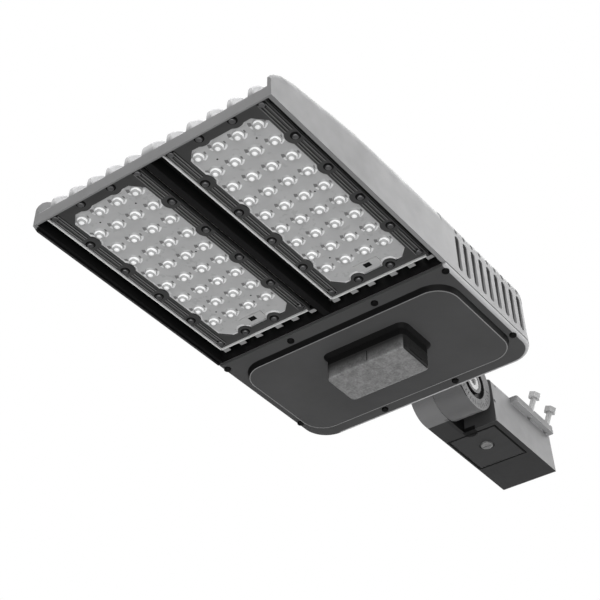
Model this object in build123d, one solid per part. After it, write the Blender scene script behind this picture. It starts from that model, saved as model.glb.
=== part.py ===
"""Pole-mounted LED area light: finned die-cast head, two lens modules, driver bay and a tilting slip-fitter arm.

All sizes are in millimetres. The pieces are drawn in the head's own frame: x across the head with 0 on its middle,
y from the head's front edge towards the pole, z up with 0 on the height of the lenses. The save function moves every
piece so that the origin is the middle of the tenon socket's open end, with +Y the way the tenon leaves.
"""
import math
import os

from build123d import *

os.makedirs("parts", exist_ok=True)

# Head: outer shape of the die-cast housing
HEAD_WIDTH = 330.0
HEAD_LENGTH = 532.5
RIM_Z = -10.4  # lower edge of the housing all round
WALL_DRAFT = 2.6  # degrees that the outer walls lean inwards
DRIP_LIP = (3.4, 2.4)  # how far the lip under the -X rim stands down, and its width
DRIP_LIP_START = 7.0
SIDE_WALL = 5.6
FRONT_WALL = 2.3
FRONT_LIP_Z = 4.4  # top of the front wall between the fins
HALF = HEAD_WIDTH / 2
DECK_Z = 7.0  # underside of the plate that carries the modules
DECK_THICKNESS = 5.0
DIVIDER_WIDTH = 9.0  # rib between the two module bays

# Head: air gap between the module plate and the driver bay
BAY_FRONT = 320.0
GAP_FRONT = BAY_FRONT - 9.0
BAY_LENGTH = HEAD_LENGTH - BAY_FRONT
GAP_RIBS_X = [HALF * share for share in (0.103, 0.263, 0.409, 0.596, 0.746, 0.898)]
GAP_RIB_WIDTH = 9.0
GAP_RIB_TOP = 24.0
GAP_RIB_Y = (GAP_FRONT + 1.3, BAY_FRONT - 2.0)
GAP_RIB_LOW = 0.0

# Head: the side walls rise from the front like the fins. Each row is y, top of the flat face, top of the wall.
WALL_HEIGHTS = [
    (0, 11.0, 17.5),
    (4, 17.0, 24.0),
    (10, 22.5, 30.0),
    (22, 29.0, 38.0),
    (42, 32.0, 44.5),
    (72, 36.0, 48.5),
    (114, 42.0, 55.0),
    (160, 46.5, 60.0),
    (240, 48.5, 62.5),
    (BAY_FRONT + 14, 50.0, 64.0),
]

# Head: cooling fins on top
FIN_COUNT = 5  # on each side of the middle rib
FIN_PITCH = HALF * 0.1636
FIN_FIRST_X = HALF * 0.1788
FIN_THICKNESS = 5.8
MIDDLE_RIB = 16.0
FIN_EDGE = 2.2
FIN_TOP = [(0, 15.5), (2, 19), (6, 23.5), (12, 29), (22, 35.5), (42, 43), (72, 48), (114, 54), (160, 59), (240, 61.5)]

# Driver bay
BAY_ROOF_Z = 76.0
BAY_CORNER = 34.0
BAY_EDGE = 20.0
BAY_SIDE = 20.0  # from the outer face to the inner face, behind the side slots
BAY_WALL = 7.0
BAY_ROOF = 6.0
BAY_INNER_CORNER = 20.0
SLOT_COUNT = 10
SLOT_PITCH = BAY_LENGTH / 12.143
SLOT_FIRST_Y = BAY_FRONT + 2 * SLOT_PITCH
SLOT_WIDTH = 9.0
SLOT_DEPTH = 14.5
SLOT_BOTTOM = -2.0
SLOT_TOP = 50.5
NOTCH_BOTTOM = 55.0  # short upper slot over the rounded edge
NOTCH_TOP = 62.0
NOTCH_WIDTH = 5.5

# Driver cover
COVER_FLANGE = 3.8
COVER_GASKET = 1.0
COVER_EDGE = 0.6  # how far the cover's edge stays inside the housing's
COVER_FRONT = BAY_FRONT + 1.0
COVER_WALL = 3.0
COVER_ROUND = 3.2  # lower edge at the sides and the rear
COVER_FRONT_ROUND = 0.9
PANEL_X = (-HALF + 16.5, HALF - 15.5)  # lower edge of the raised panel
PANEL_Y = (BAY_FRONT + 21.0, HEAD_LENGTH - 29.5)
PANEL_CORNER = 30.0
PANEL_HEIGHT = 8.0
PANEL_DRAFT = 16.0
COVER_SCREWS = [
    (HALF - 6.4, BAY_FRONT + 9.9),
    (HALF * 0.37, BAY_FRONT + 9.9),
    (HALF - 6.6, HEAD_LENGTH - 52.8),
    (HALF * 0.32, HEAD_LENGTH - 13.7),
]
COVER_SCREW_R = 2.5
COVER_HEAD_R = 4.4
COVER_HEAD_HEIGHT = 2.4
COVER_SCREW_LENGTH = 10.5
SCREW_CLEARANCE = 0.4

# Motion and light sensor under the cover
SENSOR_X = 15.0
SENSOR_Y = BAY_FRONT + 0.3835 * BAY_LENGTH
SENSOR_WIDTH = 112.0
SENSOR_DEPTH = 57.0
SENSOR_CORNER = 7.0
SENSOR_BASE_HEIGHT = 14.0
SENSOR_LENS_HEIGHT = 20.0
SENSOR_WALL = 2.5
SENSOR_FOOT = 5.0  # how far the base's foot spreads on the panel
SENSOR_SCREW_SPAN = 84.0
SENSOR_SEAM_X = 3.8

# Light modules
MODULE_X = HALF * 0.50606
MODULE_HALF = HALF * 0.41515
MODULE_Y = (FRONT_WALL + 0.5, GAP_FRONT - 2.0)
BEZEL_Z = (-1.2, 1.6)
PLATE_Z = (1.6, 5.4)
BOARD_THICKNESS = 1.6
PLATE_HALF = MODULE_HALF - 15.0
PLATE_Y = (MODULE_Y[0] + 16.7, MODULE_Y[1] - 11.0)
PLATE_CUT = 13.0  # cut-off corners
BEZEL_LAP = 1.5  # bezel over the plate's edge
RIDGE_WIDTH = 1.6  # raised rim round the bezel
RIDGE_HEIGHT = 2.0
TAB_R = 9.0  # bezel tabs round the rear screws
NOTCH_R = 12.0  # bezel tabs round the side and front screws
PLATE_LAP = 1.0  # how far the plate reaches behind a tab
LENS_COLUMNS = 4
LENS_ROWS = 9
LENS_SHIFT_X = -0.5
LENS_PITCH_X = PLATE_HALF / 2.022
LENS_PITCH_Y = (PLATE_Y[1] - PLATE_Y[0]) / 9.796
LENS_FIRST_Y = PLATE_Y[0] + 12.6
LENS_R = 5.6
LENS_HEIGHT = 4.2
CHIP = 3.5
CHIP_HEIGHT = 0.7
CHIP_POCKET = 1.0
MODULE_SCREW_X = MODULE_HALF - 8.16
MODULE_SCREW_Y = [MODULE_Y[0] + share * (MODULE_Y[1] - MODULE_Y[0]) for share in (0.029, 0.212, 0.4, 0.591, 0.78, 0.963)]
END_SCREW_X = MODULE_HALF * 0.321
MODULE_SCREW_R = 2.0
MODULE_HEAD_R = 3.7
MODULE_HEAD_HEIGHT = 2.2
MODULE_SCREW_LENGTH = 11.0
CONNECTOR = (32.0, 12.0)
CONNECTOR_PROUD = 1.4
CONNECTOR_HOLE = (6.0, 5.0)
CONNECTOR_Y = PLATE_Y[1] - 14.0

# Parts inside the driver bay
DRIVER_SIZE = (210.0, 62.0, 34.0)
DRIVER_Y = BAY_FRONT + 0.306 * BAY_LENGTH
SURGE_SIZE = (52.0, 36.0, 24.0)
SURGE_AT = (-55.0, BAY_FRONT + 0.706 * BAY_LENGTH)
TERMINAL_SIZE = (56.0, 22.0, 20.0)
TERMINAL_AT = (75.0, SURGE_AT[1])

# Tilting knuckle. The pivot runs along x.
PIVOT_Y = HEAD_LENGTH + 64.5
PIVOT_Z = 36.0
KNUCKLE_R = 41.5
KNUCKLE_X = (-8.0, 36.0)
NECK_Z = (7.0, 64.0)
NECK_FLANGE_GASKET = 1.0
NECK_BOLT_R = 4.0
NECK_BOLT_X = 14.0
NECK_BOLT_Z = 18.0
DIAL_GROOVE = (18.0, 26.0)  # inner and outer radius
DIAL_GROOVE_DEPTH = 5.0
DIAL_RING_R = 38.5
DIAL_TICKS = 19
DIAL_TICK_STEP = 10.0
PIVOT_BOLT_R = 8.0
PIVOT_CLEARANCE = 0.05
PIVOT_HEAD_R = 13.0
PIVOT_HEAD_HEIGHT = 7.0
PIVOT_NUT_FLATS = 24.0
PIVOT_NUT_HEIGHT = 11.0
PIVOT_WASHER = 2.5
FACE_GAP = 0.3
WIRE_HOLE_R = 8.0

# Slip-fitter arm
ARM_LENGTH = 160.0
ARM_FRONT = PIVOT_Y + 43.0
ARM_END = ARM_FRONT + ARM_LENGTH
ARM_BOTTOM = -6.0
ARM_TOP = 63.0
ARM_HALF_BOTTOM = 41.5
ARM_HALF_TOP = 37.0
OUTSIDE = ARM_HALF_BOTTOM + 18.5  # a place clear of the arm, where side cutters start
ARM_EDGE = 3.5
TENON_R = 31.0
TENON_Z = 30.0
TENON_DEPTH = ARM_LENGTH - 50.0
ARM_WALL = 8.0
WIRING_END = ARM_FRONT + 36.0
SPLIT_Z = 58.0  # where the clamp sits on the arm
LEDGE_HALF = 46.0
LEDGE_Z = 53.0
LEDGE_START = ARM_END - 108.0
CLAMP_THICKNESS = 7.0
CLAMP_EAR = 5.0
CLAMP_BOLT_X = 40.0
CLAMP_BOLT_Z = 58.2
CLAMP_BOLT_Y = [ARM_END - 60.0, ARM_END - 16.0]
CLAMP_BOLT_TILT = 22.0
CLAMP_BOLT_R = 4.0
CLAMP_BOLT_BELOW = 4.5
CLAMP_BOLT_ABOVE = 24.0
CLAMP_HEAD_FLATS = 15.0
CLAMP_HEAD_HEIGHT = 7.5

# Wiring cover under the arm
HATCH_X = (-37.0, 32.0)
HATCH_Y = (ARM_FRONT + 9.0, ARM_FRONT + 89.0)
HATCH_THICKNESS = 2.8
HATCH_GASKET = 0.6
HATCH_GAP = 1.0
HATCH_NOTCH_X = -3.0  # half-round opening at the cover's front edge
HATCH_NOTCH_R = 11.0
HATCH_NOTCH_DEPTH = 4.5
HATCH_SCREW_Y = ARM_FRONT + 43.0
HATCH_SCREW_R = 3.0
HATCH_HEAD_R = 8.0
HATCH_DISH_R = 10.5
HATCH_DISH_DEPTH = 1.2

WALL_SLOPE = math.tan(math.radians(WALL_DRAFT))
DECK_TOP = DECK_Z + DECK_THICKNESS
BAY_INNER_X = HALF - BAY_SIDE
COVER_TOP = RIM_Z - COVER_GASKET
COVER_BOTTOM = COVER_TOP - COVER_FLANGE
PANEL_Z = COVER_BOTTOM - PANEL_HEIGHT
ROOF_INNER = BAY_ROOF_Z - BAY_ROOF


def save(name, shape):
    """Write one piece as a STEP file in the part's frame."""
    solids = (Pos(0, -ARM_END, -TENON_Z) * shape).solids()
    result = solids[0] if len(solids) == 1 else Compound(children=list(solids))
    result.label = name
    export_step(result, os.path.join("parts", name + ".step"))


def block(x, y, z):
    """A box from three pairs of limits."""
    centre = Pos((x[0] + x[1]) / 2, (y[0] + y[1]) / 2, (z[0] + z[1]) / 2)
    return centre * Box(x[1] - x[0], y[1] - y[0], z[1] - z[0])


def rod(radius, start, direction, length):
    """A cylinder that starts at a point and runs along a direction."""
    return Plane(origin=start, z_dir=direction) * Cylinder(
        radius, length, align=(Align.CENTER, Align.CENTER, Align.MIN)
    )


def hexagon(flats, start, direction, length):
    """A hexagonal prism that starts at a point and runs along a direction."""
    plane = Plane(origin=start, z_dir=direction)
    outline = plane * RegularPolygon(flats / 2, 6, major_radius=False)
    return extrude(outline, amount=length, dir=plane.z_dir)


def both_sides(shape):
    """The shape and its mirror image across the middle of the head."""
    return [shape, mirror(shape, about=Plane.YZ)]


def along_x(profile_yz, x0, x1):
    """A closed outline of (y, z) points drawn out along x."""
    face = Plane.YZ * make_face(Polyline(*profile_yz, close=True))
    return Pos(x0, 0, 0) * extrude(face, amount=x1 - x0)


def rounded_plan(x, y, z, corner):
    """A sketch face at height z: a rectangle with rounded corners."""
    sketch = RectangleRounded(x[1] - x[0], y[1] - y[0], corner)
    return Pos((x[0] + x[1]) / 2, (y[0] + y[1]) / 2, z) * sketch


def bay_plan(half, y0, y1, corner, z):
    """A face at height z, square at the front and rounded at the two rear corners."""
    outline = Polyline((-half, y0), (half, y0), (half, y1), (-half, y1), close=True)
    face = make_face(outline)
    rear = [v for v in face.vertices() if v.Y > y1 - 0.01]
    return Pos(0, 0, z) * fillet(rear, corner)


def side_wall():
    """The +X side wall of the module bays, with its rounded and rising top edge."""
    inner = HALF - SIDE_WALL
    sections = []
    for y, z_flat, z_top in WALL_HEIGHTS:
        outer = HALF - (z_flat - RIM_Z) * WALL_SLOPE
        run = outer - inner
        rise = z_top - z_flat
        radius = (run ** 2 + rise ** 2) / (2 * run)
        angle = math.atan2(rise, radius - run) / 2
        middle = (outer - radius * (1 - math.cos(angle)), z_flat + radius * math.sin(angle))
        edges = [
            Line((inner, y, RIM_Z), (HALF, y, RIM_Z)),
            Line((HALF, y, RIM_Z), (outer, y, z_flat)),
            ThreePointArc((outer, y, z_flat), (middle[0], y, middle[1]), (inner, y, z_top)),
            Line((inner, y, z_top), (inner, y, RIM_Z)),
        ]
        sections.append(Face(Wire(edges)))
    return loft(sections, ruled=True)


def fin(x, thickness):
    """One cooling fin with a rounded top edge, from the front wall to the driver bay."""
    end = BAY_FRONT + BAY_WALL / 2
    top = Spline(*[(y, z) for y, z in FIN_TOP], (end, FIN_TOP[-1][1]))
    low = FRONT_LIP_Z - 2
    outline = [
        Line((0, low), (0, FIN_TOP[0][1])),
        top,
        Polyline((end, FIN_TOP[-1][1]), (end, DECK_TOP - 1), (9, DECK_TOP - 1), (0, low)),
    ]
    face = Plane.YZ * make_face(Wire([e for part in outline for e in part.edges()]))
    solid = Pos(x - thickness / 2, 0, 0) * extrude(face, amount=thickness)
    crest = [e for e in solid.edges().filter_by(GeomType.BSPLINE)]
    return fillet(crest, FIN_EDGE)


def bay_outside():
    """The driver bay's outer shape as one solid, before it is hollowed."""
    plan = bay_plan(HALF, BAY_FRONT, HEAD_LENGTH, BAY_CORNER, RIM_Z)
    solid = extrude(plan, amount=BAY_ROOF_Z - RIM_Z, taper=WALL_DRAFT)
    top = solid.faces().sort_by(Axis.Z)[-1]
    front = min(top.edges(), key=lambda e: e.center().Y)
    return fillet([e for e in top.edges() if e != front], BAY_EDGE)


def slot(z0, z1, width, depth, y):
    """A cutter for one side slot with round ends, on the +X side."""
    inner = HALF - depth
    radius = width / 2
    body = block((inner, HALF + 5), (y - radius, y + radius), (z0 + radius, z1 - radius))
    for z in (z0 + radius, z1 - radius):
        body += rod(radius, (inner, y, z), (1, 0, 0), depth + 5)
    return body


# Housing
BAY_SHELL = bay_outside()
housing = BAY_SHELL - extrude(
    bay_plan(BAY_INNER_X, BAY_FRONT + BAY_WALL, HEAD_LENGTH - BAY_WALL - 2, BAY_INNER_CORNER, RIM_Z - 1),
    amount=ROOF_INNER - RIM_Z + 1,
)
for screw_x, screw_y in COVER_SCREWS:
    for side in (-1, 1):
        if abs(screw_x) < BAY_INNER_X:
            housing += rod(COVER_HEAD_R + 3, (side * screw_x, screw_y, RIM_Z), (0, 0, 1), 30)
cutters = []
for index in range(SLOT_COUNT):
    slot_y = SLOT_FIRST_Y + index * SLOT_PITCH
    cutters += both_sides(slot(SLOT_BOTTOM, SLOT_TOP, SLOT_WIDTH, SLOT_DEPTH, slot_y))
    cutters += both_sides(slot(NOTCH_BOTTOM, NOTCH_TOP, NOTCH_WIDTH, SLOT_DEPTH - 2, slot_y))
housing -= cutters
front_and_deck = [
    (0, RIM_Z),
    (0, FRONT_LIP_Z),
    (1.6, FRONT_LIP_Z + 3),
    (8, DECK_TOP),
    (GAP_FRONT, DECK_TOP),
    (GAP_FRONT, DECK_Z),
    (FRONT_WALL, DECK_Z),
    (FRONT_WALL, RIM_Z),
]
inner_wall = HALF - SIDE_WALL
housing += along_x(front_and_deck, -inner_wall - 2, inner_wall + 2)
housing += both_sides(side_wall())
lip_profile = [
    (1.0, RIM_Z + 1),
    (1.0, RIM_Z),
    (DRIP_LIP_START, RIM_Z - DRIP_LIP[0]),
    (COVER_FRONT - 1.5, RIM_Z - DRIP_LIP[0]),
    (COVER_FRONT - 1.5, RIM_Z + 1),
]
housing += along_x(lip_profile, -HALF, -HALF + DRIP_LIP[1])
housing += block((-DIVIDER_WIDTH / 2, DIVIDER_WIDTH / 2), (0.5, BAY_FRONT + 1), (RIM_Z, DECK_Z + 1))
housing += fin(0, MIDDLE_RIB)
for index in range(FIN_COUNT):
    housing += both_sides(fin(FIN_FIRST_X + index * FIN_PITCH, FIN_THICKNESS))
for rib_x in GAP_RIBS_X:
    rib_width = (rib_x - GAP_RIB_WIDTH / 2, rib_x + GAP_RIB_WIDTH / 2)
    rib = block(rib_width, (GAP_FRONT - 2, BAY_FRONT + 2), (DECK_Z, GAP_RIB_TOP))
    rib += block(rib_width, GAP_RIB_Y, (GAP_RIB_LOW, GAP_RIB_TOP))
    housing += both_sides(rib)


def module_plan(x0, half, y, cut, shrink):
    """The outline of a module's lens plate or bezel opening, with cut corners and a round notch beside each screw."""
    face = Rectangle(2 * half, y[1] - y[0])
    face = chamfer(face.vertices(), cut)
    face = Pos(x0, (y[0] + y[1]) / 2, 0) * face
    for side in (-1, 1):
        for screw_y in MODULE_SCREW_Y[1:-1]:
            face -= Pos(x0 + side * MODULE_SCREW_X, screw_y, 0) * Circle(NOTCH_R - shrink)
        face -= Pos(x0 + side * END_SCREW_X, MODULE_SCREW_Y[0], 0) * Circle(NOTCH_R - shrink)
        face -= Pos(x0 + side * END_SCREW_X, MODULE_SCREW_Y[-1], 0) * Circle(TAB_R - shrink)
    return face


def module_screw_points(x0):
    """The sixteen screw places of one module."""
    points = [(x0 + side * MODULE_SCREW_X, y) for side in (-1, 1) for y in MODULE_SCREW_Y]
    ends = (MODULE_SCREW_Y[0], MODULE_SCREW_Y[-1])
    return points + [(x0 + side * END_SCREW_X, y) for side in (-1, 1) for y in ends]


def lens_points(x0):
    """The middles of one module's lenses."""
    first = x0 + LENS_SHIFT_X - LENS_PITCH_X * (LENS_COLUMNS - 1) / 2
    return [
        (first + column * LENS_PITCH_X, LENS_FIRST_Y + row * LENS_PITCH_Y)
        for column in range(LENS_COLUMNS)
        for row in range(LENS_ROWS)
    ]


# Light modules, one on each side
module_middle = (MODULE_Y[0] + MODULE_Y[1]) / 2
board_z = (PLATE_Z[1], PLATE_Z[1] + BOARD_THICKNESS)
for side_name, side in (("left", -1), ("right", 1)):
    x0 = side * MODULE_X
    screws_at = module_screw_points(x0)
    through = [rod(MODULE_SCREW_R + 0.2, (x, y, BEZEL_Z[0] - 1), (0, 0, 1), 20) for x, y in screws_at]
    frame_plan = Pos(x0, module_middle, 0) * RectangleRounded(2 * MODULE_HALF, MODULE_Y[1] - MODULE_Y[0], 4)
    opening_y = (PLATE_Y[0] + BEZEL_LAP, PLATE_Y[1] - BEZEL_LAP)
    opening = module_plan(x0, PLATE_HALF - BEZEL_LAP, opening_y, PLATE_CUT, 0)
    plate = module_plan(x0, PLATE_HALF, PLATE_Y, PLATE_CUT, PLATE_LAP)
    seat_y = (PLATE_Y[0] - FACE_GAP, PLATE_Y[1] + FACE_GAP)
    seat = module_plan(x0, PLATE_HALF + FACE_GAP, seat_y, PLATE_CUT, PLATE_LAP + FACE_GAP)

    bezel = extrude(Pos(0, 0, BEZEL_Z[0]) * (frame_plan - opening), amount=BEZEL_Z[1] - BEZEL_Z[0])
    ridge_outer = Rectangle(2 * MODULE_HALF - 1, MODULE_Y[1] - MODULE_Y[0] - 1)
    ridge_inner = Rectangle(2 * (MODULE_HALF - RIDGE_WIDTH) - 1, MODULE_Y[1] - MODULE_Y[0] - 1 - 2 * RIDGE_WIDTH)
    ridge = Pos(x0, module_middle, BEZEL_Z[0] - RIDGE_HEIGHT) * (ridge_outer - ridge_inner)
    bezel += extrude(ridge, amount=RIDGE_HEIGHT)
    save("module_bezel_" + side_name, bezel - through)

    gasket_plan = Pos(x0, module_middle, 0) * Rectangle(2 * MODULE_HALF - 4, MODULE_Y[1] - MODULE_Y[0] - 4)
    gasket = extrude(Pos(0, 0, PLATE_Z[0]) * (gasket_plan - seat), amount=PLATE_Z[1] - PLATE_Z[0])
    save("module_gasket_" + side_name, gasket - through)

    board = extrude(Pos(0, 0, board_z[0]) * gasket_plan, amount=BOARD_THICKNESS)
    save("led_board_" + side_name, board - through)

    chips = [
        Pos(x, y, PLATE_Z[1]) * Box(CHIP, CHIP, CHIP_HEIGHT, align=(Align.CENTER, Align.CENTER, Align.MAX))
        for x, y in lens_points(x0)
    ]
    save("led_chips_" + side_name, Compound(children=chips))

    lens_plate = extrude(Pos(0, 0, PLATE_Z[0]) * plate, amount=PLATE_Z[1] - PLATE_Z[0])
    pocket = block(
        (x0 - PLATE_HALF + 6, x0 + PLATE_HALF - 6),
        (LENS_FIRST_Y - 8, LENS_FIRST_Y + LENS_PITCH_Y * (LENS_ROWS - 1) + 8),
        (PLATE_Z[1] - CHIP_POCKET, PLATE_Z[1] + 1),
    )
    lens_plate -= pocket
    ball_r = (LENS_R ** 2 + LENS_HEIGHT ** 2) / (2 * LENS_HEIGHT)
    ball_z = PLATE_Z[0] - LENS_HEIGHT + ball_r
    cap = Pos(0, 0, ball_z) * Sphere(ball_r) & block((-10, 10), (-10, 10), (PLATE_Z[0] - 10, PLATE_Z[0]))
    lens_plate += [Pos(x, y, 0) * cap for x, y in lens_points(x0)]
    window = block(
        (x0 - CONNECTOR[0] / 2, x0 + CONNECTOR[0] / 2),
        (CONNECTOR_Y - CONNECTOR[1] / 2, CONNECTOR_Y + CONNECTOR[1] / 2),
        (PLATE_Z[0] - CONNECTOR_PROUD, PLATE_Z[1]),
    )
    connector = window - block(
        (x0 - CONNECTOR_HOLE[0] / 2, x0 + CONNECTOR_HOLE[0] / 2),
        (CONNECTOR_Y - CONNECTOR_HOLE[1] / 2, CONNECTOR_Y + CONNECTOR_HOLE[1] / 2),
        (PLATE_Z[0] - CONNECTOR_PROUD - 1, PLATE_Z[1] - 1),
    )
    save("lens_plate_" + side_name, lens_plate - window)
    save("module_connector_" + side_name, connector)

    screws = []
    for x, y in screws_at:
        head = rod(MODULE_HEAD_R, (x, y, BEZEL_Z[0]), (0, 0, -1), MODULE_HEAD_HEIGHT)
        head = fillet(head.edges().sort_by(Axis.Z)[:1], 0.8)
        shank = rod(MODULE_SCREW_R, (x, y, BEZEL_Z[0]), (0, 0, 1), MODULE_SCREW_LENGTH)
        screws.append(head + shank)
        housing -= rod(MODULE_SCREW_R, (x, y, DECK_Z - 1), (0, 0, 1), MODULE_SCREW_LENGTH + BEZEL_Z[0] - DECK_Z + 1)
    save("module_screws_" + side_name, Compound(children=screws))

# Driver cover with its raised panel, gasket and screws
flange = extrude(
    bay_plan(HALF - COVER_EDGE, COVER_FRONT, HEAD_LENGTH - COVER_EDGE, BAY_CORNER - COVER_EDGE, COVER_BOTTOM),
    amount=COVER_FLANGE,
)
flange_low = [e for e in flange.edges() if abs(e.center().Z - COVER_BOTTOM) < 0.01]
front_low = min(flange_low, key=lambda e: e.center().Y)
flange = fillet([e for e in flange_low if e != front_low], COVER_ROUND)
panel = extrude(rounded_plan(PANEL_X, PANEL_Y, PANEL_Z, PANEL_CORNER), amount=PANEL_HEIGHT + 0.5, taper=-PANEL_DRAFT)
panel_low = [e for e in panel.edges() if abs(e.center().Z - PANEL_Z) < 0.01]
panel = fillet(panel_low, 1.0)
hollow_x = (PANEL_X[0] + COVER_WALL, PANEL_X[1] - COVER_WALL)
hollow_y = (PANEL_Y[0] + COVER_WALL, PANEL_Y[1] - COVER_WALL)
hollow = extrude(
    rounded_plan(hollow_x, hollow_y, PANEL_Z + COVER_WALL, PANEL_CORNER - COVER_WALL), amount=PANEL_HEIGHT + COVER_FLANGE
)
cover = flange + panel - hollow
cover_screws = []
gasket_outer = bay_plan(HALF - 3, COVER_FRONT + 2, HEAD_LENGTH - 3, BAY_CORNER - 3, COVER_TOP)
gasket_inner = bay_plan(BAY_INNER_X - 2, BAY_FRONT + BAY_WALL + 6, HEAD_LENGTH - BAY_WALL - 6, BAY_INNER_CORNER, COVER_TOP)
cover_gasket = extrude(gasket_outer - gasket_inner, amount=COVER_GASKET)
for screw_x, screw_y in COVER_SCREWS:
    for x in (-screw_x, screw_x):
        cover_gasket += rod(COVER_HEAD_R + 3, (x, screw_y, COVER_TOP), (0, 0, 1), COVER_GASKET) & extrude(
            gasket_outer, amount=COVER_GASKET
        )
for screw_x, screw_y in COVER_SCREWS:
    for x in (-screw_x, screw_x):
        clear = rod(COVER_SCREW_R + SCREW_CLEARANCE, (x, screw_y, COVER_BOTTOM - 1), (0, 0, 1), COVER_FLANGE + 3)
        cover -= clear
        cover_gasket -= clear
        head = rod(COVER_HEAD_R, (x, screw_y, COVER_BOTTOM), (0, 0, -1), COVER_HEAD_HEIGHT)
        head = fillet(head.edges().sort_by(Axis.Z)[:1], 0.9)
        head += rod(COVER_SCREW_R, (x, screw_y, COVER_BOTTOM), (0, 0, 1), COVER_SCREW_LENGTH)
        cover_screws.append(head)
        housing -= rod(COVER_SCREW_R, (x, screw_y, RIM_Z - 1), (0, 0, 1), COVER_SCREW_LENGTH + COVER_BOTTOM - RIM_Z + 1)

# Sensor: base on the panel, milky lens under it, board inside
sensor_x = (SENSOR_X - SENSOR_WIDTH / 2, SENSOR_X + SENSOR_WIDTH / 2)
sensor_y = (SENSOR_Y - SENSOR_DEPTH / 2, SENSOR_Y + SENSOR_DEPTH / 2)
base_low = PANEL_Z - SENSOR_BASE_HEIGHT
lens_low = base_low - SENSOR_LENS_HEIGHT


def sensor_plan(inset, z, corner=SENSOR_CORNER):
    """The sensor's outline, made smaller by an inset, at height z."""
    x = (sensor_x[0] + inset, sensor_x[1] - inset)
    y = (sensor_y[0] + inset, sensor_y[1] - inset)
    return rounded_plan(x, y, z, max(corner - inset, 1.5))


sensor_base = extrude(sensor_plan(0, base_low), amount=SENSOR_BASE_HEIGHT)
foot = extrude(sensor_plan(-0.2, PANEL_Z - SENSOR_FOOT), amount=SENSOR_FOOT, taper=-42)
sensor_base += foot
spigot_inset = SENSOR_WALL + 0.2
sensor_base += extrude(sensor_plan(spigot_inset, base_low - 4), amount=4)
sensor_base -= extrude(sensor_plan(spigot_inset + 3, base_low - 5), amount=SENSOR_BASE_HEIGHT + 1)
wire_slot = block((SENSOR_X - 15, SENSOR_X + 15), (SENSOR_Y - 8, SENSOR_Y + 8), (PANEL_Z - 10, PANEL_Z + 5))
sensor_base -= wire_slot
cover -= wire_slot
sensor_screws = []
for side in (-1, 1):
    x = SENSOR_X + side * SENSOR_SCREW_SPAN / 2
    seat_z = PANEL_Z + COVER_WALL
    sensor_screws.append(
        rod(3.5, (x, SENSOR_Y, seat_z), (0, 0, 1), 2.5) + rod(2.0, (x, SENSOR_Y, seat_z), (0, 0, -1), COVER_WALL + 3.5)
    )
    cover -= rod(2.3, (x, SENSOR_Y, PANEL_Z - 1), (0, 0, 1), COVER_WALL + 2)
    sensor_base -= rod(2.0, (x, SENSOR_Y, PANEL_Z - 3.5), (0, 0, 1), 4)
sensor_lens = extrude(sensor_plan(0, lens_low), amount=SENSOR_LENS_HEIGHT)
sensor_lens = fillet([e for e in sensor_lens.edges() if abs(e.center().Z - lens_low) < 0.01], 2.5)
sensor_lens -= extrude(sensor_plan(SENSOR_WALL, lens_low + SENSOR_WALL), amount=SENSOR_LENS_HEIGHT)
sensor_lens -= block((SENSOR_SEAM_X - 0.4, SENSOR_SEAM_X + 0.4), (sensor_y[0] - 1, sensor_y[0] + 0.6), (lens_low - 1, base_low))
board_inset = spigot_inset + 3
sensor_board = extrude(sensor_plan(board_inset, base_low), amount=1.6)
sensor_eye = rod(6, (SENSOR_X, SENSOR_Y, base_low), (0, 0, -1), 7)
save("sensor_base", sensor_base)
save("sensor_lens", sensor_lens)
save("sensor_board", sensor_board + sensor_eye)
save("sensor_screws", Compound(children=sensor_screws))
save("cover_gasket", cover_gasket)
save("cover_screws", Compound(children=cover_screws))
save("driver_cover", cover)


def roof_box(size, x, y):
    """A box that hangs from the driver bay's roof."""
    half_x = size[0] / 2
    half_y = size[1] / 2
    return block((x - half_x, x + half_x), (y - half_y, y + half_y), (ROOF_INNER - size[2], ROOF_INNER))


# Driver, surge protector and terminal block under the bay's roof
driver = roof_box(DRIVER_SIZE, 0, DRIVER_Y)
driver = fillet(driver.edges().filter_by(Axis.X).sort_by(Axis.Z)[:2], 3)
tab_x = DRIVER_SIZE[0] / 2 + 9
driver_screws = []
for side in (-1, 1):
    tab = block(
        (min(side * tab_x, side * (tab_x - 12)) - 3, max(side * tab_x, side * (tab_x - 12)) + 3),
        (DRIVER_Y - DRIVER_SIZE[1] / 2, DRIVER_Y + DRIVER_SIZE[1] / 2),
        (ROOF_INNER - 2.5, ROOF_INNER),
    )
    driver += tab
    for end in (-1, 1):
        place = (side * tab_x, DRIVER_Y + end * 22, ROOF_INNER - 2.5)
        driver -= rod(2.4, (place[0], place[1], ROOF_INNER - 4), (0, 0, 1), 6)
        driver_screws.append(rod(4, place, (0, 0, -1), 2.6) + rod(2, place, (0, 0, 1), 6.5))
        housing -= rod(2, (place[0], place[1], ROOF_INNER - 1), (0, 0, 1), 5)
save("led_driver", driver)
save("driver_screws", Compound(children=driver_screws))
surge = roof_box(SURGE_SIZE, *SURGE_AT)
save("surge_protector", fillet(surge.edges().filter_by(Axis.Z), 5))
terminal = roof_box(TERMINAL_SIZE, *TERMINAL_AT)
for index in range(5):
    way = TERMINAL_AT[0] + (index - 2) * 10.5
    terminal -= block((way - 3.5, way + 3.5), (TERMINAL_AT[1] - 12, TERMINAL_AT[1] - 4), (ROOF_INNER - 17, ROOF_INNER - 7))
save("terminal_block", terminal)

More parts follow.
